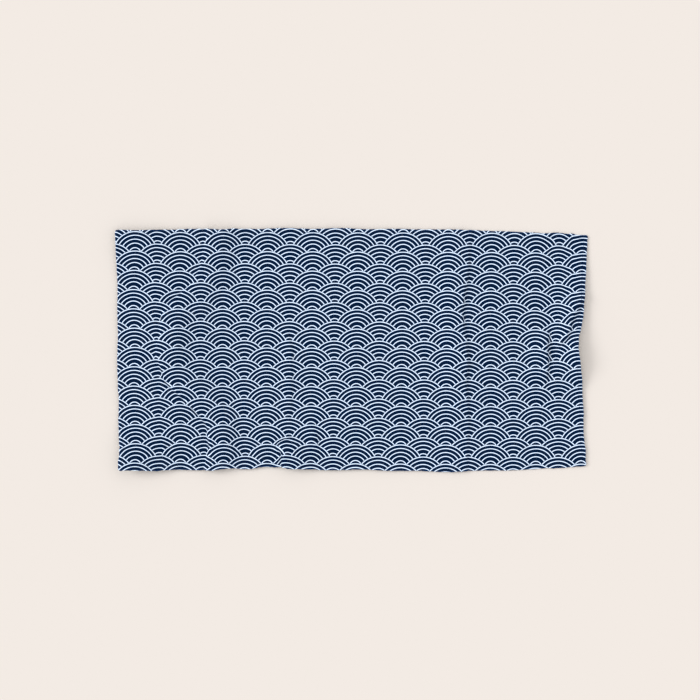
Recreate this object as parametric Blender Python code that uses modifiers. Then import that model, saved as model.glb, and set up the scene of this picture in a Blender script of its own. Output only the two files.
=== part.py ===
"""Bath towel: one length of printed towelling that lies face up on a flat surface, in its folds.

Metres, +Z up. The printed face points up, the long side runs along X, and the tops of the printed
fans point along +Y. The origin is under the middle of the towel, on the surface that it rests on.
"""
import bpy
import bmesh
import math
import numpy as np

# Cloth, measured flat
CUT_LENGTH = 1.390
CUT_WIDTH = 0.708
THICKNESS = 0.003

# How far a fold's steep side runs for each metre of its height, and the least that it runs
STEEP_RUN = 1.65
SHORTEST_RUN = 0.012

# Folds, one row each: which hand the steep side is on when the crest is followed from its first
# station, where the gentle side starts to fall and where it ends, and the stations: right, up and
# height
FOLDS = {
    "left bracket": dict(steep_hand="right", gentle_start=0.034, gentle_end=0.104, stations=(
        (-0.418, 0.362, 0.010),
        (-0.430, 0.285, 0.010),
        (-0.446, 0.235, 0.007),
        (-0.472, 0.188, 0.006),
        (-0.539, 0.131, 0.006),
        (-0.556, 0.090, 0.008),
        (-0.560, 0.047, 0.010),
        (-0.570, -0.010, 0.012),
        (-0.557, -0.050, 0.010),
        (-0.540, -0.095, 0.008),
        (-0.483, -0.152, 0.007),
        (-0.428, -0.212, 0.010),
        (-0.420, -0.262, 0.012),
        (-0.424, -0.309, 0.012),
        (-0.435, -0.362, 0.012),
    )),
    "short middle": dict(steep_hand="left", gentle_start=0.000, gentle_end=0.035, stations=(
        (-0.190, 0.075, 0.000),
        (-0.187, 0.035, 0.003),
        (-0.180, -0.002, 0.004),
        (-0.180, -0.084, 0.004),
        (-0.181, -0.144, 0.004),
        (-0.184, -0.191, 0.003),
        (-0.186, -0.235, 0.000),
    )),
    "bottom tuck": dict(steep_hand="right", gentle_start=0.000, gentle_end=0.060, stations=(
        (-0.150, -0.258, 0.000),
        (-0.176, -0.266, 0.004),
        (-0.199, -0.276, 0.009),
        (-0.215, -0.287, 0.010),
        (-0.227, -0.297, 0.004),
        (-0.238, -0.306, 0.000),
    )),
    "bottom pleat": dict(steep_hand="right", gentle_start=0.020, gentle_end=0.110, stations=(
        (-0.214, -0.283, 0.000),
        (-0.208, -0.300, 0.006),
        (-0.198, -0.320, 0.010),
        (-0.197, -0.343, 0.011),
        (-0.197, -0.362, 0.011),
    )),
    "bottom crease": dict(steep_hand="left", gentle_start=0.000, gentle_end=0.040, stations=(
        (-0.118, -0.200, 0.000),
        (-0.114, -0.223, 0.004),
        (-0.108, -0.256, 0.006),
        (-0.107, -0.285, 0.005),
        (-0.095, -0.320, 0.000),
    )),
    "long right": dict(steep_hand="left", gentle_start=0.025, gentle_end=0.085, stations=(
        (0.356, 0.362, 0.003),
        (0.346, 0.300, 0.004),
        (0.342, 0.232, 0.006),
        (0.331, 0.165, 0.007),
        (0.325, 0.101, 0.0075),
        (0.334, 0.045, 0.0075),
        (0.342, -0.028, 0.0075),
        (0.336, -0.087, 0.007),
        (0.340, -0.146, 0.006),
        (0.343, -0.205, 0.005),
        (0.341, -0.263, 0.004),
        (0.338, -0.362, 0.003),
    )),
    "right edge crease": dict(steep_hand="left", gentle_start=0.000, gentle_end=0.070, stations=(
        (0.590, 0.062, 0.000),
        (0.583, 0.044, 0.008),
        (0.579, 0.016, 0.015),
        (0.579, -0.008, 0.013),
        (0.581, -0.038, 0.009),
        (0.581, -0.061, 0.007),
        (0.575, -0.090, 0.004),
        (0.567, -0.120, 0.000),
    )),
    "right edge slant": dict(steep_hand="right", gentle_start=0.000, gentle_end=0.060, stations=(
        (0.602, 0.000, 0.000),
        (0.626, 0.022, 0.006),
        (0.640, 0.037, 0.009),
        (0.647, 0.060, 0.010),
        (0.652, 0.089, 0.010),
        (0.664, 0.112, 0.010),
        (0.676, 0.136, 0.008),
        (0.700, 0.175, 0.000),
    )),
}

# Places where the cloth stands off the surface, one row each: right, up, height, reach along the
# length and reach along the width
LIFTS = {
    "far left corner": (-0.700, 0.355, 0.013, 0.240, 0.190),
    "near left corner": (-0.690, -0.370, 0.024, 0.200, 0.180),
    "left end": (-0.570, 0.000, 0.011, 0.290, 0.550),
    "far edge": (-0.150, 0.360, 0.0065, 0.620, 0.055),
    "near edge": (-0.120, -0.360, 0.0065, 0.620, 0.055),
    "right end arch": (0.700, -0.015, 0.020, 0.115, 0.120),
    "right end": (0.700, 0.110, 0.008, 0.120, 0.240),
    "right edge": (0.705, -0.080, 0.005, 0.070, 0.450),
}

# How the hemmed edges wander, one row each: edge, place along it, distance outwards and reach
EDGE_BOWS = (
    ("far", -0.470, 0.0035, 0.080),
    ("far", -0.384, -0.0030, 0.035),
    ("far", -0.150, 0.0052, 0.600),
    ("far", 0.240, 0.0015, 0.080),
    ("far", 0.510, -0.0065, 0.140),
    ("far", 0.700, -0.0120, 0.180),
    ("near", -0.590, 0.0040, 0.150),
    ("near", -0.450, 0.0040, 0.060),
    ("near", -0.365, -0.0050, 0.060),
    ("near", -0.250, -0.0095, 0.070),
    ("near", 0.270, 0.0052, 0.240),
    ("near", 0.660, -0.0080, 0.160),
    ("left", 0.370, 0.0070, 0.150),
    ("left", 0.145, -0.0042, 0.110),
    ("left", 0.000, 0.0035, 0.055),
    ("left", -0.170, -0.0050, 0.130),
    ("left", -0.340, 0.0050, 0.090),
    ("right", 0.370, 0.0065, 0.110),
    ("right", 0.050, -0.0085, 0.085),
    ("right", -0.090, -0.0100, 0.200),
    ("right", -0.250, -0.0080, 0.080),
)
EDGE_WAVE = 0.0012
EDGE_WAVE_LENGTH = 0.170

# Columns of the mesh that follow each fold, as distances from its crest
FOLLOWING_COLUMNS = {
    "left bracket": (-0.028, -0.023, -0.019, -0.0155, -0.012, -0.009, -0.006, -0.003, 0.0,
                     0.017, 0.034, 0.050, 0.066, 0.082, 0.100),
    "short middle": (-0.044, -0.036, -0.030, -0.024, -0.018, -0.011, -0.003, 0.003, 0.008, 0.014),
    "long right": (-0.080, -0.060, -0.042, -0.024, 0.0, 0.003, 0.006, 0.009, 0.013),
    "right edge crease": (-0.066, -0.046, -0.026, -0.010, 0.0, 0.004, 0.008, 0.012, 0.016, 0.021,
                          0.027),
}
# Columns between the folds, from the left end to the right end
SPACED_COLUMNS = (4, 5, 6, 4, 4)
# Widths of the bands of rows, from the far edge to the near one, and the rows in each: together
# they are as wide as the cut
ROW_BANDS = ((0.170, 7), (0.240, 17), (0.140, 8), (0.104, 9), (0.054, 3))

# Maps of the flat cloth: their reach each way, the distance between their lines and the steepest slope
MAP_HALF_LENGTH = 0.740
MAP_HALF_WIDTH = 0.400
MAP_STEP = 0.002
STEEPEST = 0.98

# Finish, colour in linear values
FACE_COLOUR = (0.005, 0.016, 0.047, 1.0)
FACE_ROUGHNESS = 0.95


def smooth_course(stations, steps=12):
    """Points on a smooth curve through the stations, as right, up and height."""
    points = np.array(stations)
    padded = np.vstack((2 * points[0] - points[1], points, 2 * points[-1] - points[-2]))
    course = []
    for p0, p1, p2, p3 in zip(padded[:-3], padded[1:-2], padded[2:-1], padded[3:]):
        for t in np.arange(steps) / steps:
            course.append(0.5 * (2 * p1 + (p2 - p0) * t + (2 * p0 - 5 * p1 + 4 * p2 - p3) * t ** 2
                                 + (3 * p1 - p0 - 3 * p2 + p3) * t ** 3))
    course.append(points[-1])
    return np.array(course)


def hump(share):
    """A smooth rise to 1 in the middle that is level there and at both ends."""
    return 0.5 + 0.5 * np.cos(math.pi * np.clip(share, -1.0, 1.0))


def flank(share):
    """A fall from 1 to 0 with a tight bend at its top, an even slope and a wide bend at its foot."""
    share = np.clip(share, 0.0, 1.0)
    return np.where(share < 0.15, 1 - share ** 2 / 0.21,
                    np.where(share > 0.55, (1 - share) ** 2 / 0.63, 1 - (share - 0.075) / 0.70))


def fold_height(right, up, steep_hand, gentle_start, gentle_end, stations):
    """Height of one fold at points of the flat cloth."""
    course = smooth_course(stations)
    nearest = np.full(right.shape, np.inf)
    crest = np.zeros(right.shape)
    hand = np.ones(right.shape)
    for (x0, y0, h0), (x1, y1, h1) in zip(course[:-1], course[1:]):
        run_x, run_y = x1 - x0, y1 - y0
        share = ((right - x0) * run_x + (up - y0) * run_y) / (run_x ** 2 + run_y ** 2)
        share = np.clip(share, 0.0, 1.0)
        off_x, off_y = right - x0 - share * run_x, up - y0 - share * run_y
        distance = np.hypot(off_x, off_y)
        closer = distance < nearest
        nearest = np.where(closer, distance, nearest)
        crest = np.where(closer, h0 + share * (h1 - h0), crest)
        hand = np.where(closer, np.sign(run_x * off_y - run_y * off_x), hand)
    steep_sign = 1.0 if steep_hand == "left" else -1.0
    crest = np.maximum(crest, 0.0)
    steep_run = np.maximum(STEEP_RUN * crest, SHORTEST_RUN)
    gentle = hump(np.maximum(nearest - gentle_start, 0.0) / (gentle_end - gentle_start))
    return crest * np.where(hand == steep_sign, flank(nearest / steep_run), gentle)


def cloth_height(right, up):
    """Height of the underside above the surface at points of the flat cloth."""
    height = np.zeros(right.shape)
    for fold in FOLDS.values():
        height += fold_height(right, up, **fold)
    for at_x, at_y, rise, reach_x, reach_y in LIFTS.values():
        height += rise * hump((right - at_x) / reach_x) * hump((up - at_y) / reach_y)
    return height


def edge_bow(edge, along):
    """How far one hemmed edge wanders outwards at places along it."""
    bow = EDGE_WAVE * np.sin(2 * math.pi * (along / EDGE_WAVE_LENGTH + len(edge) / 7))
    for name, at, out, reach in EDGE_BOWS:
        if name == edge:
            bow = bow + out * hump((along - at) / reach)
    return bow


def cloth_maps():
    """Maps of the flat cloth: where each point lies once the folds have taken up their cloth."""
    right = np.arange(-MAP_HALF_LENGTH, MAP_HALF_LENGTH + MAP_STEP / 2, MAP_STEP)
    up = np.arange(-MAP_HALF_WIDTH, MAP_HALF_WIDTH + MAP_STEP / 2, MAP_STEP)
    height = cloth_height(*np.meshgrid(right, up))
    maps = []
    for axis in (1, 0):
        slope = np.clip(np.gradient(height, MAP_STEP, axis=axis), -STEEPEST, STEEPEST)
        advance = np.sqrt(1 - slope ** 2) * MAP_STEP
        between = 0.5 * (np.delete(advance, 0, axis) + np.delete(advance, -1, axis))
        place = np.insert(np.cumsum(between, axis=axis), 0, 0.0, axis=axis)
        middle = np.take(place, [place.shape[axis] // 2], axis=axis)
        maps.append(place - middle)
    return maps


def read_map(values, right, up):
    """Values of a map at points between its lines."""
    column, row = (right + MAP_HALF_LENGTH) / MAP_STEP, (up + MAP_HALF_WIDTH) / MAP_STEP
    i, j = column.astype(int), row.astype(int)
    across, along = column - i, row - j
    near = values[j, i] * (1 - across) + values[j, i + 1] * across
    far = values[j + 1, i] * (1 - across) + values[j + 1, i + 1] * across
    return near * (1 - along) + far * along


def column_lines(up):
    """Where every column of the mesh crosses a level of the flat cloth, from left to right."""
    half = CUT_LENGTH / 2
    lines = [-half - edge_bow("left", up)]
    followed = [[crest_line(name, up) + offset for offset in offsets]
                for name, offsets in FOLLOWING_COLUMNS.items()]
    followed.append([half + edge_bow("right", up)])
    for count, group in zip(SPACED_COLUMNS, followed):
        start, end = lines[-1], group[0]
        lines += [start + (end - start) * step / count for step in range(1, count)]
        lines += group
    return lines


def crest_line(name, up):
    """How far right a fold's crest lies at a level of the flat cloth."""
    course = smooth_course(FOLDS[name]["stations"])
    return np.interp(up, course[::-1, 1], course[::-1, 0])


def row_levels():
    """Levels of the rows of the mesh on the flat cloth, from the far edge to the near one."""
    levels = [CUT_WIDTH / 2]
    for width, count in ROW_BANDS:
        start = levels[-1]
        levels += [start - width * step / count for step in range(1, count + 1)]
    return levels


def laid_points():
    """The mesh's points in rows, laid on the surface, with the towel's middle over the origin."""
    levels = row_levels()
    right = np.array([column_lines(level) for level in levels])
    up = np.repeat(np.array(levels)[:, None], right.shape[1], axis=1)
    share = up / (CUT_WIDTH / 2)
    up = up + edge_bow("far", right) * np.clip(share, 0, 1) ** 2
    up = up - edge_bow("near", right) * np.clip(-share, 0, 1) ** 2
    place_right, place_up = cloth_maps()
    x, y = read_map(place_right, right, up), read_map(place_up, right, up)
    x -= (x.min() + x.max()) / 2
    y -= (y.min() + y.max()) / 2
    return np.dstack((x, y, cloth_height(right, up)))


def cloth_material():
    """Printed cotton towelling, sheared on its face."""
    material = bpy.data.materials.new("printed cotton towelling")
    material.use_nodes = True
    shader = material.node_tree.nodes["Principled BSDF"]
    shader.inputs["Base Color"].default_value = FACE_COLOUR
    shader.inputs["Roughness"].default_value = FACE_ROUGHNESS
    shader.inputs["Metallic"].default_value = 0.0
    return material


def towel(collection):
    """The towel: an open surface on the underside's points, thickened upwards."""
    points = laid_points()
    rows, columns = points.shape[0] - 1, points.shape[1] - 1
    surface = bmesh.new()
    bmesh.ops.create_grid(surface, x_segments=columns, y_segments=rows, size=0.5)
    for vertex in surface.verts:
        row = round((0.5 - vertex.co.y) * rows)
        column = round((vertex.co.x + 0.5) * columns)
        vertex.co = points[row, column]
    mesh = bpy.data.meshes.new("towel")
    surface.to_mesh(mesh)
    surface.free()
    mesh.shade_smooth()
    mesh.materials.append(cloth_material())
    cloth = bpy.data.objects.new("towel", mesh)
    collection.objects.link(cloth)
    shell = cloth.modifiers.new("cloth thickness", "SOLIDIFY")
    shell.thickness = THICKNESS
    shell.offset = 1.0
    return cloth


def main():
    for old in list(bpy.data.objects):
        bpy.data.objects.remove(old, do_unlink=True)
    collection = bpy.data.collections.new("bath towel")
    bpy.context.scene.collection.children.link(collection)
    towel(collection)


main()
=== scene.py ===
"""Printed bath towel: its towelling, print, pile, hems and stitching, laid out in its folds.

The file is laid out as an add-on: the property groups hold the sizes and colours, each operator
makes one piece or the stage, and the panel lists them. Run as a script, it makes them all.
Everything is in metres, with +Z up, in the frame of the towel's solid.
"""
import math

import bpy
import numpy as np
from bpy.props import FloatProperty, FloatVectorProperty, PointerProperty
from bpy.types import NodeSocket, Operator, Panel, PropertyGroup
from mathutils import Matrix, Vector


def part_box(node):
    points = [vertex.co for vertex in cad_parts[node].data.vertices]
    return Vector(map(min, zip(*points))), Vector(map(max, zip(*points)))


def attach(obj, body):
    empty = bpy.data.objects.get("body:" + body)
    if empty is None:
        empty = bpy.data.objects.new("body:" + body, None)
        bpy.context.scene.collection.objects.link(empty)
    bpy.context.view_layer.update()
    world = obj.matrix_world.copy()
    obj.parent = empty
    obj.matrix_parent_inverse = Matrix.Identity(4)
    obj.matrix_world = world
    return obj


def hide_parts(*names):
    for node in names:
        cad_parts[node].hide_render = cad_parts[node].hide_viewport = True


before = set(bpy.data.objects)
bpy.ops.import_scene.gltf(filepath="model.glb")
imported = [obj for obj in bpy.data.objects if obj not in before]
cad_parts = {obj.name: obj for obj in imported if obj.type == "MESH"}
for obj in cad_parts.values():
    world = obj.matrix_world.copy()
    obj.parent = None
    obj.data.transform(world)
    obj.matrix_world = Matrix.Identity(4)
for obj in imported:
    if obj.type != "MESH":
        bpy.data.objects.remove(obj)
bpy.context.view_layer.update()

bl_info = {
    "name": "Printed Bath Towel",
    "version": (1, 0, 0),
    "blender": (4, 5, 0),
    "location": "3D View > Sidebar > Towel",
    "description": "Makes a printed bath towel laid out in its folds, with its hems and stitching",
    "category": "Add Mesh",
}

NODE = "towel"
TOWEL_LOW, TOWEL_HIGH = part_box(NODE)

# How far a fold's steep side runs for each metre of its height, and the least that it runs
STEEP_RUN = 1.65
SHORTEST_RUN = 0.012
# Shares of that run that the tight bend at its top and the wide bend at its foot take up
TOP_BEND = 0.15
FOOT_BEND = 0.45
# Straight steps of a crest between two of its stations
COURSE_STEPS = 12

# Folds, one entry each: which hand the steep side is on when the crest is followed from its first
# station, how far from the crest the gentle side starts and ends, and the crest's stations, one row
# each: right, up and height
FOLDS = {
    "left bracket": dict(steep_hand="right", gentle_start=0.034, gentle_end=0.104, stations=(
        (-0.418, 0.362, 0.010),
        (-0.430, 0.285, 0.010),
        (-0.446, 0.235, 0.007),
        (-0.472, 0.188, 0.006),
        (-0.539, 0.131, 0.006),
        (-0.556, 0.090, 0.008),
        (-0.560, 0.047, 0.010),
        (-0.570, -0.010, 0.012),
        (-0.557, -0.050, 0.010),
        (-0.540, -0.095, 0.008),
        (-0.483, -0.152, 0.007),
        (-0.428, -0.212, 0.010),
        (-0.420, -0.262, 0.012),
        (-0.424, -0.309, 0.012),
        (-0.435, -0.362, 0.012),
    )),
    "short middle": dict(steep_hand="left", gentle_start=0.000, gentle_end=0.035, stations=(
        (-0.190, 0.075, 0.000),
        (-0.187, 0.035, 0.003),
        (-0.180, -0.002, 0.004),
        (-0.180, -0.084, 0.004),
        (-0.181, -0.144, 0.004),
        (-0.184, -0.191, 0.003),
        (-0.186, -0.235, 0.000),
    )),
    "bottom tuck": dict(steep_hand="right", gentle_start=0.000, gentle_end=0.060, stations=(
        (-0.150, -0.258, 0.000),
        (-0.176, -0.266, 0.004),
        (-0.199, -0.276, 0.009),
        (-0.215, -0.287, 0.010),
        (-0.227, -0.297, 0.004),
        (-0.238, -0.306, 0.000),
    )),
    "bottom pleat": dict(steep_hand="right", gentle_start=0.020, gentle_end=0.110, stations=(
        (-0.214, -0.283, 0.000),
        (-0.208, -0.300, 0.006),
        (-0.198, -0.320, 0.010),
        (-0.197, -0.343, 0.011),
        (-0.197, -0.362, 0.011),
    )),
    "bottom crease": dict(steep_hand="left", gentle_start=0.000, gentle_end=0.040, stations=(
        (-0.118, -0.200, 0.000),
        (-0.114, -0.223, 0.004),
        (-0.108, -0.256, 0.006),
        (-0.107, -0.285, 0.005),
        (-0.095, -0.320, 0.000),
    )),
    "long right": dict(steep_hand="left", gentle_start=0.025, gentle_end=0.085, stations=(
        (0.356, 0.362, 0.003),
        (0.346, 0.300, 0.004),
        (0.342, 0.232, 0.006),
        (0.331, 0.165, 0.007),
        (0.325, 0.101, 0.0075),
        (0.334, 0.045, 0.0075),
        (0.342, -0.028, 0.0075),
        (0.336, -0.087, 0.007),
        (0.340, -0.146, 0.006),
        (0.343, -0.205, 0.005),
        (0.341, -0.263, 0.004),
        (0.338, -0.362, 0.003),
    )),
    "right edge crease": dict(steep_hand="left", gentle_start=0.000, gentle_end=0.070, stations=(
        (0.590, 0.062, 0.000),
        (0.583, 0.044, 0.008),
        (0.579, 0.016, 0.015),
        (0.579, -0.008, 0.013),
        (0.581, -0.038, 0.009),
        (0.581, -0.061, 0.007),
        (0.575, -0.090, 0.004),
        (0.567, -0.120, 0.000),
    )),
    "right edge slant": dict(steep_hand="right", gentle_start=0.000, gentle_end=0.060, stations=(
        (0.602, 0.000, 0.000),
        (0.626, 0.022, 0.006),
        (0.640, 0.037, 0.009),
        (0.647, 0.060, 0.010),
        (0.652, 0.089, 0.010),
        (0.664, 0.112, 0.010),
        (0.676, 0.136, 0.008),
        (0.700, 0.175, 0.000),
    )),
}

# Places where the cloth stands off the floor, one row each: right, up, height, reach along the
# length and reach along the width
LIFTS = {
    "far left corner": (-0.700, 0.355, 0.013, 0.240, 0.190),
    "near left corner": (-0.690, -0.370, 0.024, 0.200, 0.180),
    "left end": (-0.570, 0.000, 0.011, 0.290, 0.550),
    "far edge": (-0.150, 0.360, 0.0065, 0.620, 0.055),
    "near edge": (-0.120, -0.360, 0.0065, 0.620, 0.055),
    "right end arch": (0.700, -0.015, 0.020, 0.115, 0.120),
    "right end": (0.700, 0.110, 0.008, 0.120, 0.240),
    "right edge": (0.705, -0.080, 0.005, 0.070, 0.450),
}

# How the hemmed edges wander, one row each: edge, place along it, distance outwards and reach
EDGE_BOWS = (
    ("far", -0.470, 0.0035, 0.080),
    ("far", -0.384, -0.0030, 0.035),
    ("far", -0.150, 0.0052, 0.600),
    ("far", 0.240, 0.0015, 0.080),
    ("far", 0.510, -0.0065, 0.140),
    ("far", 0.700, -0.0120, 0.180),
    ("near", -0.650, 0.0035, 0.150),
    ("near", -0.470, 0.0042, 0.085),
    ("near", -0.365, -0.0050, 0.060),
    ("near", -0.250, -0.0095, 0.070),
    ("near", 0.270, 0.0052, 0.240),
    ("near", 0.660, -0.0080, 0.160),
    ("left", 0.370, 0.0070, 0.150),
    ("left", 0.145, -0.0042, 0.110),
    ("left", 0.000, 0.0035, 0.055),
    ("left", -0.170, -0.0050, 0.130),
    ("left", -0.340, 0.0050, 0.090),
    ("right", 0.370, 0.0065, 0.110),
    ("right", 0.050, -0.0085, 0.085),
    ("right", -0.090, -0.0100, 0.200),
    ("right", -0.250, -0.0080, 0.080),
)
# The slight even wave of every edge, and the share of its length at which it starts on each
EDGE_WAVE = 0.0012
EDGE_WAVE_LENGTH = 0.170
EDGE_WAVE_STARTS = {"far": 3 / 7, "near": 4 / 7, "left": 4 / 7, "right": 5 / 7}

# Maps of the flat cloth: their reach each way, the distance between their lines and the steepest
# slope that they hold
MAP_HALF_LENGTH = 0.740
MAP_HALF_WIDTH = 0.400
MAP_STEP = 0.002
STEEPEST = 0.98

# Lines of the mesh across a hem, as distances from the edge: close together at the seam and where
# the hem's turned edge ends
HEM_LINES = (0.0, 0.0015, 0.0030, 0.0050, 0.0070, 0.0083, 0.0092, 0.0101, 0.0110, 0.0120, 0.0132,
             0.0150, 0.0175, 0.0200)
# Runs of the mesh's columns, one row each: the fold that they follow, where the run starts and ends
# on either side of its crest, and its number of columns
COLUMN_RUNS = (
    ("left bracket", -0.026, 0.002, 15),
    ("left bracket", 0.002, 0.088, 14),
    ("short middle", -0.030, 0.014, 13),
    ("long right", -0.076, -0.004, 12),
    ("long right", -0.004, 0.020, 12),
    ("right edge crease", -0.066, -0.004, 11),
    ("right edge crease", -0.004, 0.030, 16),
)
# The widest that a column is between those runs
WIDEST_COLUMN = 0.0072
# Bands of the mesh's rows between the two hems, from the far one to the near one: share and rows
ROW_BANDS = ((0.130, 19), (0.110, 18), (0.200, 46), (0.110, 18), (0.118, 26))
# Two lines of the mesh closer together than this are one line
SAME_LINE = 1e-6
CORNER_RADIUS = 0.0065

# The rim goes round the edge in this many steps, and wanders in and out over these lengths
RIM_STEPS = 5
RIM_WANDER = 0.0004
RIM_LENGTHS = (0.006, 0.030)
# How far from the edge the pile is worn down, by how much, and how far its tufts are opened
WORN_REACH = 0.0040
WORN_DEPTH = 0.0004
OPENED_REACH = 0.0030
# The lengths of the face's swells, and how far from the edge they reach their full height
SWELL_LENGTHS = (0.022, 0.085)
SWELL_START = 0.030

# How far the face takes to come down from the hem, and the width of the channel along the seam
HEM_SHOULDER = 0.0030
FACE_CHANNEL = 0.0011
# On the back: the channel along the seam, and the one beside the hem's turned edge
BACK_CHANNEL = 0.0009
BACK_SEAM_DEPTH = 0.0003
TURNED_EDGE_GAP = 0.0008
TURNED_EDGE_DEPTH = 0.0006

# How far from the edge the hem's seam runs, and how far short of the other seams it stops
SEAM_IN = 0.0092
SEAM_END = 0.0030
STITCH_SIDES = 6
# A stitch's arc: place along it as a share of its length, height above the pile that its thread
# goes into, and thickness as a share of the thread's
STITCH_ARC = ((-0.43, -0.0006, 0.55), (-0.28, 0.0001, 1.0), (0.0, 0.0003, 1.0), (0.28, 0.0001, 1.0),
              (0.43, -0.0006, 0.55))

# The face and the rim fill the bake's upper half, and the back its lower half: the flat size that
# each covers, its share of the bake, and its middle there
BAKED_CLOTH = (1.430, 0.745)
BAKED_SHARE = (0.985, 0.480)
FACE_ON_BAKE = (0.5, 0.75)
BACK_ON_BAKE = (0.5, 0.25)

# Where the print lies on the cloth: the middle of a fan's arcs, and how much it leans and tilts
PRINT_RIGHT = 0.0165
PRINT_UP = -0.0595
PRINT_LEAN = 0.0118
PRINT_TILT = 0.0040
# These folds take up less cloth than the photo's do, so past them the print is shifted to bring
# its fans to where the photo has them. One row each: where along the length the shift starts
# and where it is whole, then its place across the width, its reach there and how far right it goes
PRINT_SHIFTS = (
    (-0.300, -0.460, 0.000, 1.500, 0.0042),
    (-0.300, -0.460, -0.200, 0.160, 0.0060),
    (0.300, 0.360, 0.300, 0.420, -0.0038),
)
# Radius of the middle of each undyed ring in a fan, as a share of the fan's own radius
RING_RADII = (0.261, 0.462, 0.637, 0.810, 0.967)
# How wide a printed edge is, and the dye's colour halfway across it
INK_EDGE = 0.0008
THIN_INK = "#3C76BE"

# Which of the materials of a piece a face has
FACE, BACK = 0, 1

# The floor's reach each way, and how far it lies under the towel's lowest point
FLOOR_REACH = 20.0
FLOOR_DROP = 0.0006
# The camera's lens (mm), the place that it stands over, and the height at which its frame is as
# wide as the view width
LENS = 100.0
CAMERA_OVER = (-0.0052, 0.0003)
FRAMED_HEIGHT = 0.008


def linear(hex_colour):
    """Linear red, green and blue of an sRGB hex colour."""
    channels = [int(hex_colour[start:start + 2], 16) / 255 for start in (1, 3, 5)]
    return tuple(c / 12.92 if c <= 0.04045 else ((c + 0.055) / 1.055) ** 2.4 for c in channels)


class TowelCloth(PropertyGroup):
    """Sizes of the cloth and its hems"""
    cut_length: FloatProperty(
        name="Cut Length", description="Length of the cloth, measured flat",
        default=1.390, min=0.5, max=3.0, unit="LENGTH")
    cut_width: FloatProperty(
        name="Cut Width", description="Width of the cloth, measured flat",
        default=0.708, min=0.3, max=2.0, unit="LENGTH")
    thickness: FloatProperty(
        name="Thickness", description="From the back's loops to the top of the face's pile",
        default=0.003, min=0.001, max=0.006, unit="LENGTH")
    hem_width: FloatProperty(
        name="Hem Width", description="Width of the hems that are turned to the back",
        default=0.0112, min=0.005, max=0.020, unit="LENGTH")
    hem_rise: FloatProperty(
        name="Hem Rise", description="How far the turned hem lifts the face",
        default=0.0006, min=0.0, max=0.003, unit="LENGTH")
    seam_depth: FloatProperty(
        name="Seam Depth", description="How far the hem's stitches pull the pile down",
        default=0.0006, min=0.0, max=0.002, unit="LENGTH")
    swell: FloatProperty(
        name="Swell", description="Height of the slight unevenness all over the face",
        default=0.00030, min=0.0, max=0.003, unit="LENGTH")
    stitch_length: FloatProperty(
        name="Stitch Length", description="From one stitch of the hem to the next",
        default=0.0036, min=0.001, max=0.01, unit="LENGTH")
    thread: FloatProperty(
        name="Thread", description="Thickness of the sewing thread",
        default=0.00045, min=0.0001, max=0.002, unit="LENGTH")
    face_thread: FloatVectorProperty(
        name="Face Thread", description="Colour of the thread that shows on the face",
        subtype="COLOR", default=linear("#16284A"), min=0.0, max=1.0)
    back_thread: FloatVectorProperty(
        name="Back Thread", description="Colour of the thread that shows on the back",
        subtype="COLOR", default=linear("#E4EAF0"), min=0.0, max=1.0)


class TowelPrint(PropertyGroup):
    """Sizes and colours of the wave print"""
    fan_pitch: FloatProperty(
        name="Fan Pitch", description="Distance between neighbouring fans in a row",
        default=0.1332, min=0.02, max=0.5, unit="LENGTH")
    row_period: FloatProperty(
        name="Row Period", description="Distance from one row of fans to the next in line with it",
        default=0.0569, min=0.01, max=0.3, unit="LENGTH")
    staggered_drop: FloatProperty(
        name="Staggered Drop", description="How far the staggered rows lie below the others",
        default=0.0357, min=0.0, max=0.3, unit="LENGTH")
    ring_width: FloatProperty(
        name="Ring Width", description="Width of the undyed rings of a fan",
        default=0.00248, min=0.001, max=0.02, unit="LENGTH")
    ink: FloatVectorProperty(
        name="Ink", description="Colour of the printed ground", subtype="COLOR",
        default=linear("#021630"), min=0.0, max=1.0)
    undyed: FloatVectorProperty(
        name="Undyed Cotton", description="Colour of the bleached cotton that the ink leaves",
        subtype="COLOR", default=linear("#EFFBFF"), min=0.0, max=1.0)


class TowelStudio(PropertyGroup):
    """Floor, light and camera"""
    floor: FloatVectorProperty(
        name="Floor", description="Colour of the floor", subtype="COLOR",
        default=linear("#D9D0C5"), min=0.0, max=1.0)
    daylight: FloatVectorProperty(
        name="Daylight", description="Colour of the light, a little bluer than white",
        subtype="COLOR", default=linear("#F7F9FF"), min=0.0, max=1.0)
    fill: FloatProperty(
        name="Fill", description="Strength of the even light from all around",
        default=1.10, min=0.0, max=5.0)
    key: FloatProperty(
        name="Key", description="Strength of the soft light from the left",
        default=2.00, min=0.0, max=20.0)
    key_height: FloatProperty(
        name="Key Height", description="Angle of the soft light above the floor",
        default=math.radians(27), min=0.1, max=1.57, unit="ROTATION", subtype="ANGLE")
    key_heading: FloatProperty(
        name="Key Heading", description="Direction that the soft light comes from, against +X",
        default=math.radians(165), min=-3.15, max=3.15, unit="ROTATION", subtype="ANGLE")
    key_softness: FloatProperty(
        name="Key Softness", description="How wide the soft light looks from the towel",
        default=math.radians(24), min=0.0, max=3.1, unit="ROTATION", subtype="ANGLE")
    view_width: FloatProperty(
        name="View Width", description="Width of the floor that the camera sees",
        default=2.065, min=0.5, max=10.0, unit="LENGTH")


def smooth_course(stations):
    """Points on a smooth curve through the stations, as right, up and height."""
    points = np.array(stations)
    padded = np.vstack((2 * points[0] - points[1], points, 2 * points[-1] - points[-2]))
    course = []
    for p0, p1, p2, p3 in zip(padded[:-3], padded[1:-2], padded[2:-1], padded[3:]):
        for t in np.arange(COURSE_STEPS) / COURSE_STEPS:
            course.append(0.5 * (2 * p1 + (p2 - p0) * t + (2 * p0 - 5 * p1 + 4 * p2 - p3) * t ** 2
                                 + (3 * p1 - p0 - 3 * p2 + p3) * t ** 3))
    course.append(points[-1])
    return np.array(course)


def hump(share):
    """A smooth rise to 1 in the middle that is level there and at both ends."""
    return 0.5 + 0.5 * np.cos(math.pi * np.clip(share, -1.0, 1.0))


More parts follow.
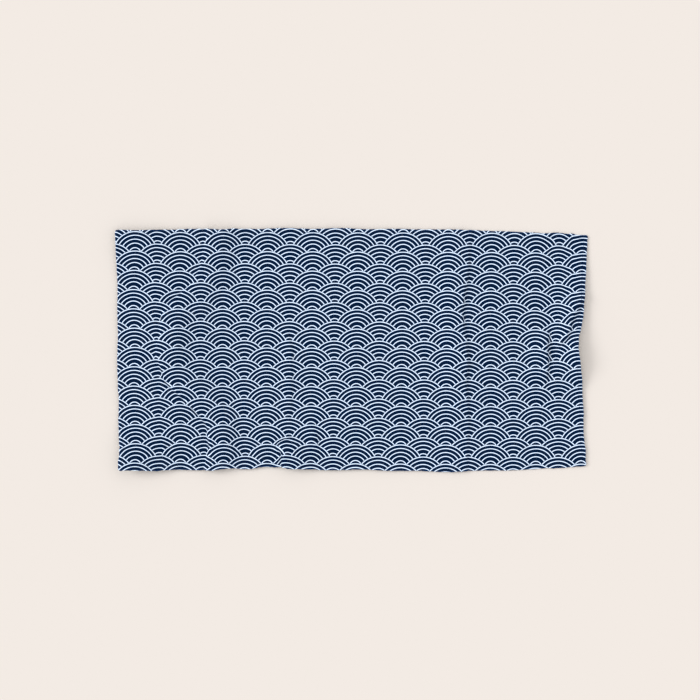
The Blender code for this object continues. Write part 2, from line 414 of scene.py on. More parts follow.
def flank(share):
    """A fall from 1 to 0: a tight bend at its top, an even slope and a wide bend at its foot."""
    share = np.clip(share, 0.0, 1.0)
    run = 1 - (TOP_BEND + FOOT_BEND) / 2
    top = 1 - share ** 2 / (2 * TOP_BEND * run)
    middle = 1 - (share - TOP_BEND / 2) / run
    foot = (1 - share) ** 2 / (2 * FOOT_BEND * run)
    return np.where(share < TOP_BEND, top, np.where(share > 1 - FOOT_BEND, foot, middle))


def ramp(value, start, end):
    """A smooth rise from 0 at the start to 1 at the end."""
    share = np.clip((value - start) / (end - start), 0.0, 1.0)
    return share * share * (3 - 2 * share)


def unevenness(right, up, shortest, longest, count, seed):
    """Random swells made of waves between two lengths, about 1 high."""
    rng = np.random.default_rng(seed)
    swell = np.zeros(right.shape)
    for _ in range(count):
        length = shortest * (longest / shortest) ** rng.random()
        heading, start = 2 * math.pi * rng.random(2)
        along = right * math.cos(heading) + up * math.sin(heading)
        swell += np.sin(2 * math.pi * along / length + start)
    return swell / math.sqrt(count / 2)


def fold_height(right, up, steep_hand, gentle_start, gentle_end, stations):
    """Height of one fold at points of the flat cloth."""
    course = smooth_course(stations)
    nearest = np.full(right.shape, np.inf)
    crest = np.zeros(right.shape)
    hand = np.ones(right.shape)
    for (x0, y0, h0), (x1, y1, h1) in zip(course[:-1], course[1:]):
        run_x, run_y = x1 - x0, y1 - y0
        share = ((right - x0) * run_x + (up - y0) * run_y) / (run_x ** 2 + run_y ** 2)
        share = np.clip(share, 0.0, 1.0)
        off_x, off_y = right - x0 - share * run_x, up - y0 - share * run_y
        distance = np.hypot(off_x, off_y)
        closer = distance < nearest
        nearest = np.where(closer, distance, nearest)
        crest = np.where(closer, h0 + share * (h1 - h0), crest)
        hand = np.where(closer, np.sign(run_x * off_y - run_y * off_x), hand)
    steep_sign = 1.0 if steep_hand == "left" else -1.0
    crest = np.maximum(crest, 0.0)
    steep_run = np.maximum(STEEP_RUN * crest, SHORTEST_RUN)
    gentle = hump(np.maximum(nearest - gentle_start, 0.0) / (gentle_end - gentle_start))
    return crest * np.where(hand == steep_sign, flank(nearest / steep_run), gentle)


def cloth_height(right, up):
    """Height of the underside above the floor at points of the flat cloth."""
    height = np.zeros(right.shape)
    for fold in FOLDS.values():
        height += fold_height(right, up, **fold)
    for at_x, at_y, rise, reach_x, reach_y in LIFTS.values():
        height += rise * hump((right - at_x) / reach_x) * hump((up - at_y) / reach_y)
    return height


def edge_bow(edge, along):
    """How far one hemmed edge wanders outwards at places along it."""
    bow = EDGE_WAVE * np.sin(2 * math.pi * (along / EDGE_WAVE_LENGTH + EDGE_WAVE_STARTS[edge]))
    for name, at, out, reach in EDGE_BOWS:
        if name == edge:
            bow = bow + out * hump((along - at) / reach)
    return bow


def crest_line(name, up):
    """How far right a fold's crest lies at a level of the flat cloth."""
    course = smooth_course(FOLDS[name]["stations"])
    return np.interp(up, course[::-1, 1], course[::-1, 0])


class LaidCloth:
    """Where each point of the flat cloth lies, and the slopes of its folds there."""

    def __init__(self):
        right = np.arange(-MAP_HALF_LENGTH, MAP_HALF_LENGTH + MAP_STEP / 2, MAP_STEP)
        up = np.arange(-MAP_HALF_WIDTH, MAP_HALF_WIDTH + MAP_STEP / 2, MAP_STEP)
        height = cloth_height(*np.meshgrid(right, up))
        self.places, self.slopes = [], []
        for axis in (1, 0):
            slope = np.clip(np.gradient(height, MAP_STEP, axis=axis), -STEEPEST, STEEPEST)
            advance = np.sqrt(1 - slope ** 2) * MAP_STEP
            between = 0.5 * (np.delete(advance, 0, axis) + np.delete(advance, -1, axis))
            place = np.insert(np.cumsum(between, axis=axis), 0, 0.0, axis=axis)
            self.places.append(place - np.take(place, [place.shape[axis] // 2], axis=axis))
            self.slopes.append(slope)
        self.shift = (0.0, 0.0)

    def centre_on(self, right, up, low, high):
        """Shifts the cloth so that these points lie in the middle of a box."""
        x, y = (self.read(place, right, up) for place in self.places)
        self.shift = ((low[0] + high[0] - x.min() - x.max()) / 2,
                      (low[1] + high[1] - y.min() - y.max()) / 2)

    def read(self, values, right, up):
        """Values of a map at points between its lines."""
        column, row = (right + MAP_HALF_LENGTH) / MAP_STEP, (up + MAP_HALF_WIDTH) / MAP_STEP
        i, j = column.astype(int), row.astype(int)
        across, along = column - i, row - j
        near = values[j, i] * (1 - across) + values[j, i + 1] * across
        far = values[j + 1, i] * (1 - across) + values[j + 1, i + 1] * across
        return near * (1 - along) + far * along

    def raised(self, right, up, above):
        """Points at a height above the underside, square to the laid cloth."""
        x, y = (self.read(place, right, up) for place in self.places)
        under = np.stack((x + self.shift[0], y + self.shift[1], cloth_height(right, up)), axis=-1)
        slope_x, slope_y = (self.read(slope, right, up) for slope in self.slopes)
        run_x, run_y = np.sqrt(1 - slope_x ** 2), np.sqrt(1 - slope_y ** 2)
        normal = np.stack((-slope_x * run_y, -run_x * slope_y, run_x * run_y), axis=-1)
        normal /= np.linalg.norm(normal, axis=-1, keepdims=True)
        return under + normal * np.asarray(above)[..., None]


class ClothGrid:
    """The mesh's lines on the flat cloth, in rows from the far edge, and where its edges are."""

    def __init__(self, sizes):
        self.half_length = (sizes.cut_length - sizes.thickness) / 2
        self.half_width = (sizes.cut_width - sizes.thickness) / 2
        levels = self.row_levels()
        self.right = self.column_lines(levels)
        up = np.repeat(levels[:, None], self.right.shape[1], axis=1)
        share = up / self.half_width
        self.up = (up + edge_bow("far", self.right) * np.clip(share, 0, 1) ** 2
                   - edge_bow("near", self.right) * np.clip(-share, 0, 1) ** 2)
        from_left, from_right = self.right - self.right[:, :1], self.right[:, -1:] - self.right
        from_far, from_near = self.up[:1] - self.up, self.up - self.up[-1:]
        from_side, from_end = np.minimum(from_far, from_near), np.minimum(from_left, from_right)
        self.from_edge = np.minimum(from_side, from_end)
        # The cloth that a hem turns to the back goes on past the edge as far as it comes back in
        end = np.where(from_left < from_right, self.right[:, :1], self.right[:, -1:])
        side = np.where(from_near < from_far, self.up[-1:], self.up[:1])
        over_end = from_end <= from_side
        self.turned = np.stack((np.where(over_end, 2 * end - self.right, self.right),
                                np.where(over_end, self.up, 2 * side - self.up)), axis=-1)
        self.out = np.zeros(self.right.shape + (2,))
        self.out[:, 0, 0], self.out[:, -1, 0], self.out[0, :, 1], self.out[-1, :, 1] = -1, 1, 1, -1
        for sign_x, gap_x in ((-1, from_left), (1, from_right)):
            for sign_y, gap_y in ((-1, from_near), (1, from_far)):
                self.round_corner(sign_x, gap_x, sign_y, gap_y)

    def row_levels(self):
        """How far up every row of the mesh is, from the far edge to the near one."""
        down = list(HEM_LINES)
        inside = 2 * (self.half_width - HEM_LINES[-1]) / sum(width for width, _ in ROW_BANDS)
        for width, count in ROW_BANDS:
            start = down[-1]
            down += [start + inside * width * (step + 1) / count for step in range(count)]
        down += [2 * self.half_width - line for line in HEM_LINES[-2::-1]]
        return self.half_width - np.array(down)

    def column_lines(self, levels):
        """Where every column of the mesh crosses the rows, from left to right."""
        left = -self.half_length - edge_bow("left", levels)
        right = self.half_length + edge_bow("right", levels)
        runs = [[left + line for line in HEM_LINES]]
        for name, start, end, count in COLUMN_RUNS:
            crest = crest_line(name, levels)
            runs.append([crest + start + (end - start) * step / count for step in range(count + 1)])
        runs.append([right - line for line in HEM_LINES[::-1]])
        lines = list(runs[0])
        for run in runs[1:]:
            last, gap = lines[-1], run[0] - lines[-1]
            between = math.ceil(gap.max() / WIDEST_COLUMN)
            lines += [last + gap * step / between for step in range(1, between)]
            lines += run if gap.max() > SAME_LINE else run[1:]
        return np.array(lines).T

    def round_corner(self, sign_x, gap_x, sign_y, gap_y):
        """Draws a square corner of the grid in to a quarter circle."""
        in_x, in_y = CORNER_RADIUS - gap_x, CORNER_RADIUS - gap_y
        corner = (in_x > 0) & (in_y > 0)
        in_x, in_y = in_x[corner], in_y[corner]
        length = np.hypot(in_x, in_y)
        drawn = np.maximum(in_x, in_y) / length
        self.right[corner] += sign_x * in_x * (drawn - 1)
        self.up[corner] += sign_y * in_y * (drawn - 1)
        self.out[corner] = np.stack((sign_x * in_x / length, sign_y * in_y / length), axis=-1)

    def border(self):
        """Row and column of every point round the edge, clockwise from the far left corner."""
        rows, columns = self.right.shape
        points = [(0, column) for column in range(columns - 1)]
        points += [(row, columns - 1) for row in range(rows - 1)]
        points += [(rows - 1, column) for column in range(columns - 1, 0, -1)]
        points += [(row, 0) for row in range(rows - 1, 0, -1)]
        return tuple(np.array(points).T)


def channel(from_edge, middle, width):
    """How much of its depth a soft channel along the edges has at points of the cloth."""
    return np.exp(-((from_edge - middle) / width) ** 2)


def face_above(sizes, right, up, from_edge):
    """Height of the top of the face's pile above the cloth's underside."""
    hem = 1 - ramp(from_edge, sizes.hem_width, sizes.hem_width + HEM_SHOULDER)
    seam = channel(from_edge, SEAM_IN, FACE_CHANNEL)
    worn = WORN_DEPTH * (1 - ramp(from_edge, 0.0, WORN_REACH))
    swell = unevenness(right, up, *SWELL_LENGTHS, count=60, seed=11)
    swell *= ramp(from_edge, 0.0, SWELL_START)
    return (sizes.thickness + sizes.hem_rise * hem - sizes.seam_depth * seam - worn
            + sizes.swell * swell)


def back_above(sizes, from_edge):
    """Height of the back's loops above the cloth's underside, with the channels along the hem."""
    turned_edge = channel(from_edge, sizes.hem_width + TURNED_EDGE_GAP, BACK_CHANNEL)
    seam = channel(from_edge, SEAM_IN, BACK_CHANNEL)
    return TURNED_EDGE_DEPTH * turned_edge + BACK_SEAM_DEPTH * seam


def print_place(right, up):
    """Where points of the flat cloth lie on the print, from the middle of a fan's arcs."""
    shift = np.zeros(right.shape)
    for start, end, at, reach, distance in PRINT_SHIFTS:
        shift = shift + distance * ramp(right, start, end) * hump((up - at) / reach)
    return np.stack((right - shift - PRINT_RIGHT - PRINT_LEAN * up,
                     up - PRINT_UP + PRINT_TILT * (right - PRINT_RIGHT)), axis=-1)


def dress_faces(mesh, looks):
    """Gives each face its material and smooths it."""
    mesh.polygons.foreach_set("material_index", looks.astype(np.int32))
    mesh.polygons.foreach_set("use_smooth", np.ones(len(looks), dtype=bool))


def strips(lines):
    """Corners of the faces between each line of points round the edge and the next one."""
    return np.concatenate([
        np.stack((high, np.roll(high, -1, axis=0), np.roll(low, -1, axis=0), low), axis=1)
        for high, low in zip(lines[:-1], lines[1:])])


def towelling_mesh(cloth, grid, sizes):
    """The closed sheet: face, rim and back, with their places on the print and the bake."""
    rows, columns = grid.right.shape
    indices = np.arange(rows * columns).reshape(rows, columns)
    face = cloth.raised(grid.right, grid.up, face_above(sizes, grid.right, grid.up, grid.from_edge))
    back = cloth.raised(grid.right, grid.up, back_above(sizes, grid.from_edge))

    at = grid.border()
    edge_right, edge_up, out = grid.right[at], grid.up[at], grid.out[at]
    radius = face_above(sizes, edge_right, edge_up, grid.from_edge[at]) / 2
    wander = RIM_WANDER * unevenness(edge_right, edge_up, *RIM_LENGTHS, count=40, seed=5)
    rings, reach = [indices[at]], [np.zeros(radius.shape)]
    points = [face.reshape(-1, 3), back.reshape(-1, 3)]
    for step in range(1, RIM_STEPS):
        turn = math.pi * step / RIM_STEPS
        bulge = (radius + wander) * math.sin(turn)
        points.append(cloth.raised(edge_right + out[:, 0] * bulge, edge_up + out[:, 1] * bulge,
                                   radius * (1 + math.cos(turn))))
        rings.append(2 * rows * columns + (step - 1) * len(radius) + np.arange(len(radius)))
        reach.append(radius * turn)
    rings.append(indices[at] + rows * columns)
    reach.append(radius * math.pi)

    corners = (indices[:-1, :-1], indices[1:, :-1], indices[1:, 1:], indices[:-1, 1:])
    top = np.stack([corner.ravel() for corner in corners], axis=1)
    bottom = top[:, ::-1]
    rim = strips(rings)

    # Where each face's corners lie on the flat cloth, with the rim and turned hem past its edge
    flat = np.stack((grid.right, grid.up), axis=-1)
    in_hem = (grid.from_edge < sizes.hem_width + HEM_SHOULDER)[..., None]
    turned = np.where(in_hem, grid.turned, flat).reshape(-1, 2)
    flat = flat.reshape(-1, 2)
    edge = np.stack((edge_right, edge_up), axis=-1)
    rim_flat = strips([edge + out * along[:, None] for along in reach])
    on_print = np.concatenate((flat[top], turned[bottom], rim_flat))
    scale = np.array(BAKED_SHARE) / np.array(BAKED_CLOTH)
    bake = np.concatenate((flat[top] * scale + FACE_ON_BAKE, flat[bottom] * scale + BACK_ON_BAKE,
                           rim_flat * scale + FACE_ON_BAKE))

    mesh = bpy.data.meshes.new("towelling")
    mesh.from_pydata(np.concatenate(points).tolist(), [],
                     np.concatenate((top, bottom + rows * columns, rim)).tolist())
    on_print = print_place(on_print[..., 0], on_print[..., 1])
    for name, places in (("print", on_print), ("OFBake", bake)):
        mesh.uv_layers.new(name=name).data.foreach_set("uv", places.reshape(-1).astype(np.float32))
    # The hem is the printed cloth turned over, so it shows the face's pile on the back
    on_hem = grid.from_edge.ravel()[bottom].mean(axis=1) < sizes.hem_width
    looks = np.concatenate((np.full(len(top), FACE), np.where(on_hem, FACE, BACK),
                            np.full(len(rim), FACE)))
    dress_faces(mesh, looks)
    # How far the pile opens at the turned edge and shows its undyed roots
    opened = 1 - ramp(grid.from_edge, 0.0, OPENED_REACH).ravel()
    opened = np.concatenate((opened, opened, np.ones((RIM_STEPS - 1) * len(radius))))
    pile = mesh.attributes.new("opened_pile", "FLOAT", "POINT")
    pile.data.foreach_set("value", opened.astype(np.float32))
    mesh.update()
    return mesh


def stitch_mesh(cloth, grid, sizes):
    """Every stitch of the four hems, on the face and on the back, as short arcs of thread."""
    shares, rises, widths = np.array(STITCH_ARC).T[:, None, :, None]
    turns = 2 * math.pi * np.arange(STITCH_SIDES) / STITCH_SIDES
    radii = widths * sizes.thread / 2
    pile = sizes.thickness + sizes.hem_rise - sizes.seam_depth
    # The two threads of a seam, one row each: look, height of the pile that it goes into, which way
    # it stands out, and shift along the seam as a share of a stitch
    threads = ((FACE, pile, 1, 0.0), (BACK, BACK_SEAM_DEPTH, -1, 0.5))
    seams = []
    for edge, sign in (("far", 1), ("near", -1), ("right", 1), ("left", -1)):
        at_end = edge in ("right", "left")
        reach, level = grid.half_length, grid.half_width
        if at_end:
            reach, level = level, reach
        count = int(2 * (reach - SEAM_IN - SEAM_END) / sizes.stitch_length)
        for look, above, outward, shift in threads:
            middles = (np.arange(count) + 0.5 - count / 2 + shift) * sizes.stitch_length
            along, aside, height = np.broadcast_arrays(
                middles[:, None, None] + shares * sizes.stitch_length, radii * np.cos(turns),
                above + outward * (rises + radii * np.sin(turns)))
            across = sign * (level - SEAM_IN + edge_bow(edge, along)) + aside
            right, up = (across, along) if at_end else (along, across)
            seams.append((look, right, up, height))
    right, up, height = (np.concatenate([seam[part] for seam in seams]) for part in (1, 2, 3))
    looks = np.concatenate([np.full(len(seam[1]), seam[0]) for seam in seams])

    each = len(STITCH_ARC) * STITCH_SIDES
    ring, side = np.meshgrid(np.arange(len(STITCH_ARC) - 1), np.arange(STITCH_SIDES), indexing="ij")
    after = (side + 1) % STITCH_SIDES
    quad = np.stack((ring * STITCH_SIDES + side, ring * STITCH_SIDES + after,
                     (ring + 1) * STITCH_SIDES + after, (ring + 1) * STITCH_SIDES + side), axis=-1)
    faces = (np.arange(len(looks))[:, None, None] * each + quad.reshape(1, -1, 4)).reshape(-1, 4)
    mesh = bpy.data.meshes.new("hem_stitches")
    mesh.from_pydata(cloth.raised(right, up, height).reshape(-1, 3).tolist(), [], faces.tolist())
    dress_faces(mesh, np.repeat(looks, len(faces) // len(looks)))
    mesh.update()
    return mesh


def add_node(tree, kind, inputs=(), **settings):
    """Adds a node with its settings, and its inputs' values and links."""
    node = tree.nodes.new(kind)
    for name, value in settings.items():
        setattr(node, name, value)
    for key, value in dict(inputs).items():
        if isinstance(value, NodeSocket):
            tree.links.new(value, node.inputs[key])
        else:
            node.inputs[key].default_value = value
    return node


def new_material(name):
    """An empty material with its node tree."""
    material = bpy.data.materials.new(name)
    material.use_nodes = True
    material.node_tree.nodes.clear()
    return material, material.node_tree


def give_surface(tree, colour, height, strength, depth, finish):
    """Ends a material's nodes with the relief of its surface, its colour and its finish."""
    bump = add_node(tree, "ShaderNodeBump",
                    {"Height": height, "Strength": strength, "Distance": depth})
    shader = add_node(tree, "ShaderNodeBsdfPrincipled",
                      {"Base Color": colour, "Normal": bump.outputs["Normal"], **finish})
    add_node(tree, "ShaderNodeOutputMaterial", {"Surface": shader.outputs[0]})


def fan_share(tree, place, sizes):
    """How far points are from the middle of the fan that shows there, as a share of its radius."""
    radius, period, drop = sizes.fan_pitch / 2, sizes.row_period, sizes.staggered_drop
    split = add_node(tree, "ShaderNodeSeparateXYZ", {0: place})
    sums = {"right": split.outputs["X"], "up": split.outputs["Y"]}
    # Each row: the result, the sum and what goes into it. A fan lies over those in the rows above
    # it, so of the fans that reach a point, the lowest one shows
    rows = [
        ("down", "MULTIPLY", "up", -1.0),
        ("aside 1", "PINGPONG", "right", radius),
        ("aside 2", "SUBTRACT", radius, "aside 1"),
    ]
    for fan, level in (("1", 0.0), ("2", drop)):
        rows += [
            ("square " + fan, "MULTIPLY", "aside " + fan, "aside " + fan),
            ("left over " + fan, "SUBTRACT", radius * radius, "square " + fan),
            ("at least 0 " + fan, "MAXIMUM", "left over " + fan, 0.0),
            ("half chord " + fan, "SQRT", "at least 0 " + fan),
            ("reach " + fan, "ADD", "down", "half chord " + fan),
            ("from first " + fan, "SUBTRACT", "reach " + fan, level),
            ("rows " + fan, "DIVIDE", "from first " + fan, period),
            ("whole rows " + fan, "FLOOR", "rows " + fan),
            ("middle " + fan, "MULTIPLY_ADD", "whole rows " + fan, period, level),
        ]
    rows += [
        ("2 shows", "GREATER_THAN", "middle 2", "middle 1"),
        ("middle", "MAXIMUM", "middle 1", "middle 2"),
        ("further", "SUBTRACT", "aside 2", "aside 1"),
        ("aside", "MULTIPLY_ADD", "further", "2 shows", "aside 1"),
        ("below", "SUBTRACT", "down", "middle"),
        ("square aside", "MULTIPLY", "aside", "aside"),
        ("square distance", "MULTIPLY_ADD", "below", "below", "square aside"),
        ("distance", "SQRT", "square distance"),
        ("share", "DIVIDE", "distance", radius),
    ]
    for name, operation, *values in rows:
        inputs = {socket: sums.get(value, value) for socket, value in enumerate(values)}
        sums[name] = add_node(tree, "ShaderNodeMath", inputs, operation=operation).outputs[0]
    return sums["share"]


def ring_ramp(tree, share, sizes):
    """1 on a fan's undyed rings and 0 on its ink, with edges as soft as the pile makes them."""
    radius = sizes.fan_pitch / 2
    half, soft = sizes.ring_width / 2 / radius, INK_EDGE / 2 / radius
    stops = []
    for middle in RING_RADII:
        stops += [(middle - half - soft, 0.0), (middle - half + soft, 1.0),
                  (min(middle + half - soft, 1.0), 1.0), (min(middle + half + soft, 1.0), 0.0)]
    rings = add_node(tree, "ShaderNodeValToRGB", {0: share})
    elements = rings.color_ramp.elements
    elements[0].position, elements[0].color = 0.0, (0, 0, 0, 1)
    elements[1].position, elements[1].color = stops[-1][0], (0, 0, 0, 1)
    for position, value in stops[:-1]:
        elements.new(position).color = (value, value, value, 1)
    return rings.outputs["Color"]


def sheared_velour(sizes):
    """Sheared cotton velour, printed: the loops of the face are cut and brushed into a short dense
    pile that scatters light, so it has no gloss, only a faint bloom at low angles. The ink sits on
    the tips, and the pile leans this way and that in patches, whose lighter and darker look is
    painted into the colour as sheen and shade."""
    material, tree = new_material("printed sheared cotton velour")
    place = add_node(tree, "ShaderNodeUVMap", uv_map="print").outputs["UV"]
    # The printed edges wander by a tenth or two of a millimetre where tufts of pile lean over them
    lean = add_node(tree, "ShaderNodeTexNoise", {"Vector": place, "Scale": 260.0, "Detail": 1.0},
                    noise_dimensions="2D")
    centred = add_node(tree, "ShaderNodeVectorMath", {0: lean.outputs["Color"], 1: (0.5, 0.5, 0.5)},
                       operation="SUBTRACT")
    scaled = add_node(tree, "ShaderNodeVectorMath", {0: centred.outputs[0], "Scale": 0.0005},
                      operation="SCALE")
    leaning = add_node(tree, "ShaderNodeVectorMath", {0: place, 1: scaled.outputs[0]},
                       operation="ADD")
    rings = ring_ramp(tree, fan_share(tree, leaning.outputs[0], sizes), sizes)
    opened = add_node(tree, "ShaderNodeAttribute", attribute_name="opened_pile")
    # Tufts are about 1 mm across, too fine for the render, so they are drawn 2.5 mm across
    tufts = add_node(tree, "ShaderNodeTexNoise",
                     {"Vector": place, "Scale": 400.0, "Detail": 2.0, "Roughness": 0.6},
                     noise_dimensions="2D")
    # Patches of pile that lean one way are 10 to 30 mm across
    patches = add_node(tree, "ShaderNodeTexNoise",
                       {"Vector": place, "Scale": 55.0, "Detail": 3.0, "Roughness": 0.55,
                        "Distortion": 0.4}, noise_dimensions="2D")
    roots = add_node(tree, "ShaderNodeMath", {0: tufts.outputs["Fac"], 1: opened.outputs["Fac"]},
                     operation="MULTIPLY")
    roots_shown = add_node(tree, "ShaderNodeMapRange",
                           {"Value": roots.outputs[0], "From Min": 0.12, "From Max": 0.42,
                            "To Min": 0.0, "To Max": 0.05})
    bare = add_node(tree, "ShaderNodeMath", {0: rings, 1: roots_shown.outputs["Result"]},
                    operation="MAXIMUM")
    # The dye thins out over a ring's edge, where it turns a lighter blue before the cotton shows
    printed = add_node(tree, "ShaderNodeValToRGB", {0: bare.outputs[0]})
    stops = printed.color_ramp.elements
    stops[0].position, stops[0].color = 0.0, (*sizes.ink, 1)
    stops[1].position, stops[1].color = 1.0, (*sizes.undyed, 1)
    stops.new(0.5).color = (*linear(THIN_INK), 1)
    tuft_tone = add_node(tree, "ShaderNodeMapRange",
                         {"Value": tufts.outputs["Fac"], "From Min": 0.25, "From Max": 0.75,
                          "To Min": 0.95, "To Max": 1.05})
    # Painted sheen and shade: patches of leaning pile are made lighter and darker in the colour
    patch_tone = add_node(tree, "ShaderNodeMapRange",
                          {"Value": patches.outputs["Fac"], "From Min": 0.25, "From Max": 0.75,
                           "To Min": 0.96, "To Max": 1.04})
    tone = add_node(tree, "ShaderNodeMath",
                    {0: tuft_tone.outputs["Result"], 1: patch_tone.outputs["Result"]},
                    operation="MULTIPLY")
    colour = add_node(tree, "ShaderNodeVectorMath",
                      {0: printed.outputs["Color"], 1: tone.outputs[0]}, operation="MULTIPLY")
    rough = add_node(tree, "ShaderNodeMapRange",
                     {"Value": tufts.outputs["Fac"], "From Min": 0.2, "From Max": 0.8,
                      "To Min": 0.90, "To Max": 1.0})
    relief = add_node(tree, "ShaderNodeMath",
                      {0: patches.outputs["Fac"], 1: 1.2, 2: tufts.outputs["Fac"]},
                      operation="MULTIPLY_ADD")
    give_surface(tree, colour.outputs[0], relief.outputs[0], strength=0.2, depth=0.0008, finish={
        "Roughness": rough.outputs["Result"], "IOR": 1.5, "Specular IOR Level": 0.03,
        "Sheen Weight": 0.06, "Sheen Roughness": 0.5, "Sheen Tint": (0.6, 0.75, 1.0, 1)})
    return material


def terry_back(sizes):
    """Cotton terry, bleached: the back keeps its uncut loops, which stand in rows across the towel
    and look pebbled, with painted shade in the small gaps between them, and no gloss."""
    material, tree = new_material("bleached cotton terry loops")
    place = add_node(tree, "ShaderNodeUVMap", uv_map="print").outputs["UV"]
    # Loops are 1.5 mm across, too fine for the render, so they are drawn 3 mm across
    loops = add_node(tree, "ShaderNodeTexVoronoi",
                     {"Vector": place, "Scale": 330.0, "Randomness": 0.7}, voronoi_dimensions="2D")
    # Rows of loops lie 5 mm apart, and wander
    courses = add_node(tree, "ShaderNodeTexWave",
                       {"Vector": place, "Scale": 63.0, "Distortion": 1.2, "Detail": 2.0,
                        "Detail Scale": 3.0}, wave_type="BANDS", bands_direction="X")
    patches = add_node(tree, "ShaderNodeTexNoise",
                       {"Vector": place, "Scale": 45.0, "Detail": 3.0}, noise_dimensions="2D")
    crowns = add_node(tree, "ShaderNodeMapRange",
                      {"Value": loops.outputs["Distance"], "From Min": 0.0, "From Max": 0.7,
                       "To Min": 1.0, "To Max": 0.0})
    relief = add_node(tree, "ShaderNodeMath",
                      {0: courses.outputs["Fac"], 1: 0.35, 2: crowns.outputs["Result"]},
                      operation="MULTIPLY_ADD")
    # Painted shade: the gaps between loops and between their rows are darker, and the loops' crowns
    # lighter
    tone = add_node(tree, "ShaderNodeMapRange",
                    {"Value": relief.outputs[0], "From Min": 0.0, "From Max": 1.35,
                     "To Min": 0.74, "To Max": 1.04})
    patch_tone = add_node(tree, "ShaderNodeMapRange",
                          {"Value": patches.outputs["Fac"], "From Min": 0.25, "From Max": 0.75,
                           "To Min": 0.95, "To Max": 1.04})
    gap_shade_and_patches = add_node(tree, "ShaderNodeMath",
                    {0: tone.outputs["Result"], 1: patch_tone.outputs["Result"]},
                    operation="MULTIPLY")
    colour = add_node(tree, "ShaderNodeVectorMath", {0: tuple(sizes.undyed), 1: gap_shade_and_patches.outputs[0]},
                      operation="MULTIPLY")
    give_surface(tree, colour.outputs[0], relief.outputs[0], strength=0.7, depth=0.0012, finish={
        "Roughness": 0.95, "IOR": 1.5, "Specular IOR Level": 0.12,
        "Sheen Weight": 0.10, "Sheen Roughness": 0.5})
    return material


def spun_thread(name, colour):
    """Spun polyester sewing thread, dyed: twisted, so its plies show short slanted strokes of
    painted light and shade, and it shines a little more than the cotton."""
    material, tree = new_material(name)
    place = add_node(tree, "ShaderNodeTexCoord").outputs["Object"]
    # The plies turn about once a millimetre
    twist = add_node(tree, "ShaderNodeTexWave",
                     {"Vector": place, "Scale": 600.0, "Distortion": 1.0, "Detail": 1.0},
                     wave_type="BANDS", bands_direction="DIAGONAL")
    # Painted highlight and shade: the colour is lightened and darkened along the plies' twist
    tone = add_node(tree, "ShaderNodeMapRange",
                    {"Value": twist.outputs["Fac"], "To Min": 0.75, "To Max": 1.1})
    painted_ply_light = add_node(tree, "ShaderNodeVectorMath", {0: tuple(colour), 1: tone.outputs["Result"]},
                     operation="MULTIPLY")
    give_surface(tree, painted_ply_light.outputs[0], twist.outputs["Fac"], strength=0.4, depth=0.0001, finish={
        "Roughness": 0.6, "IOR": 1.54, "Specular IOR Level": 0.3})
    return material


def painted_board(colour):
    """Matt painted board: one even tone with the faintest roller texture and no gloss."""
    material, tree = new_material("matt painted board")
    place = add_node(tree, "ShaderNodeTexCoord").outputs["Object"]
    roller = add_node(tree, "ShaderNodeTexNoise", {"Vector": place, "Scale": 400.0, "Detail": 2.0})
    give_surface(tree, (*colour, 1), roller.outputs["Fac"], strength=0.05, depth=0.0002, finish={
        "Roughness": 0.9, "Specular IOR Level": 0.0})
    return material


def add_object(mesh, materials):
    """Links an object for a mesh, with its materials."""
    piece = bpy.data.objects.new(mesh.name, mesh)
    bpy.context.scene.collection.objects.link(piece)
    for material in materials:
        mesh.materials.append(material)
    return piece


def laid_cloth(sizes):
    """The laid cloth, in the middle of its solid's box, and the grid of its mesh."""
    grid, cloth = ClothGrid(sizes), LaidCloth()
    cloth.centre_on(grid.right, grid.up, TOWEL_LOW, TOWEL_HIGH)
    return cloth, grid


class TOWEL_OT_hem_stitches(Operator):
    """Makes the stitches along the four hems"""
    bl_idname = "towel.hem_stitches"
    bl_label = "Hem Stitches"

    def execute(self, context):
        sizes = context.scene.towel_cloth
        stitches = add_object(stitch_mesh(*laid_cloth(sizes), sizes), [
            spun_thread("navy spun polyester thread", sizes.face_thread),
            spun_thread("white spun polyester thread", sizes.back_thread)])
        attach(stitches, "root")
        return {"FINISHED"}


class TOWEL_OT_towelling(Operator):
    """Makes the towelling in its folds, with its print, pile and hems"""
    bl_idname = "towel.towelling"
    bl_label = "Towelling"

    def execute(self, context):
        sizes, wave_print = context.scene.towel_cloth, context.scene.towel_print
        towelling = add_object(towelling_mesh(*laid_cloth(sizes), sizes),
                               [sheared_velour(wave_print), terry_back(wave_print)])
        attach(towelling, "root")
        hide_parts(NODE)
        return {"FINISHED"}


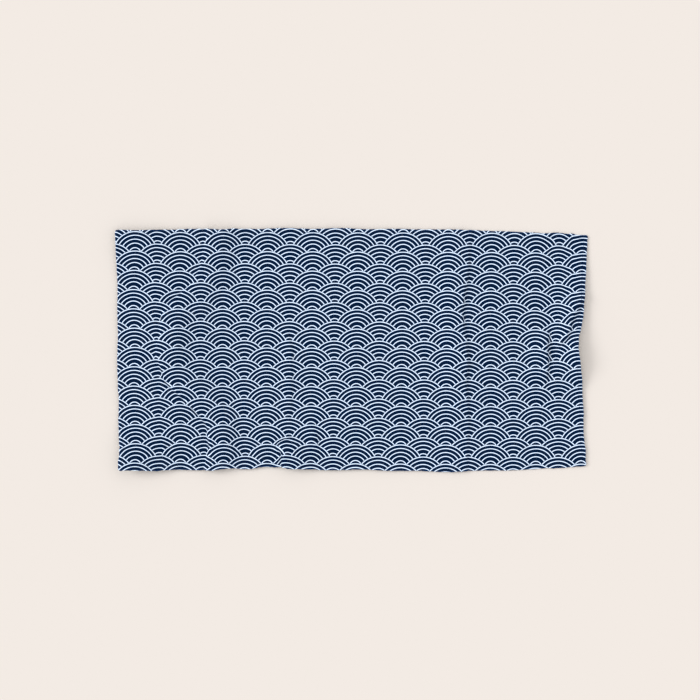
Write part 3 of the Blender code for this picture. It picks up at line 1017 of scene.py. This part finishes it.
class TOWEL_OT_studio(Operator):
    """Makes the floor, the light and the camera"""
    bl_idname = "towel.studio"
    bl_label = "Studio"

    def execute(self, context):
        scene, studio = context.scene, context.scene.towel_studio
        mesh = bpy.data.meshes.new("floor")
        corners = ((-1, -1), (1, -1), (1, 1), (-1, 1))
        mesh.from_pydata([(x * FLOOR_REACH, y * FLOOR_REACH, -FLOOR_DROP) for x, y in corners],
                         [], [(0, 1, 2, 3)])
        add_object(mesh, [painted_board(studio.floor)])

        world = bpy.data.worlds.new("studio")
        scene.world = world
        world.use_nodes = True
        world.node_tree.nodes.clear()
        sky = add_node(world.node_tree, "ShaderNodeBackground",
                       {"Color": (*studio.daylight, 1), "Strength": studio.fill})
        add_node(world.node_tree, "ShaderNodeOutputWorld", {"Surface": sky.outputs[0]})

        light = bpy.data.lights.new("soft key", "SUN")
        light.energy, light.angle, light.color = studio.key, studio.key_softness, studio.daylight
        key = bpy.data.objects.new("soft key", light)
        key.rotation_euler = (0, math.pi / 2 - studio.key_height, studio.key_heading)
        scene.collection.objects.link(key)

        lens = bpy.data.cameras.new("camera")
        lens.lens = LENS
        camera = bpy.data.objects.new("camera", lens)
        distance = studio.view_width * LENS / lens.sensor_width
        camera.location = (*CAMERA_OVER, distance + FRAMED_HEIGHT)
        scene.collection.objects.link(camera)
        scene.camera = camera
        scene.view_settings.view_transform = "Standard"
        return {"FINISHED"}


class TOWEL_PT_panel(Panel):
    """Lists the towel's pieces and their sizes and colours"""
    bl_idname = "TOWEL_PT_panel"
    bl_label = "Bath Towel"
    bl_space_type = "VIEW_3D"
    bl_region_type = "UI"
    bl_category = "Towel"

    def draw(self, context):
        for name, group in (("towel_cloth", TowelCloth), ("towel_print", TowelPrint),
                            ("towel_studio", TowelStudio)):
            box = self.layout.box()
            box.label(text=group.__doc__)
            for value in group.__annotations__:
                box.prop(getattr(context.scene, name), value)
        for operator in (TOWEL_OT_hem_stitches, TOWEL_OT_towelling, TOWEL_OT_studio):
            self.layout.operator(operator.bl_idname)


CLASSES = (TowelCloth, TowelPrint, TowelStudio, TOWEL_OT_hem_stitches, TOWEL_OT_towelling,
           TOWEL_OT_studio, TOWEL_PT_panel)


def register():
    """Registers the classes and gives the scene their settings."""
    for kind in CLASSES:
        bpy.utils.register_class(kind)
    bpy.types.Scene.towel_cloth = PointerProperty(type=TowelCloth)
    bpy.types.Scene.towel_print = PointerProperty(type=TowelPrint)
    bpy.types.Scene.towel_studio = PointerProperty(type=TowelStudio)


def unregister():
    """Takes the settings and the classes away again."""
    del bpy.types.Scene.towel_cloth, bpy.types.Scene.towel_print, bpy.types.Scene.towel_studio
    for kind in reversed(CLASSES):
        bpy.utils.unregister_class(kind)


def main():
    """Makes every piece and the studio."""
    register()
    bpy.ops.towel.hem_stitches()
    bpy.ops.towel.towelling()
    bpy.ops.towel.studio()


if __name__ == "__main__":
    main()
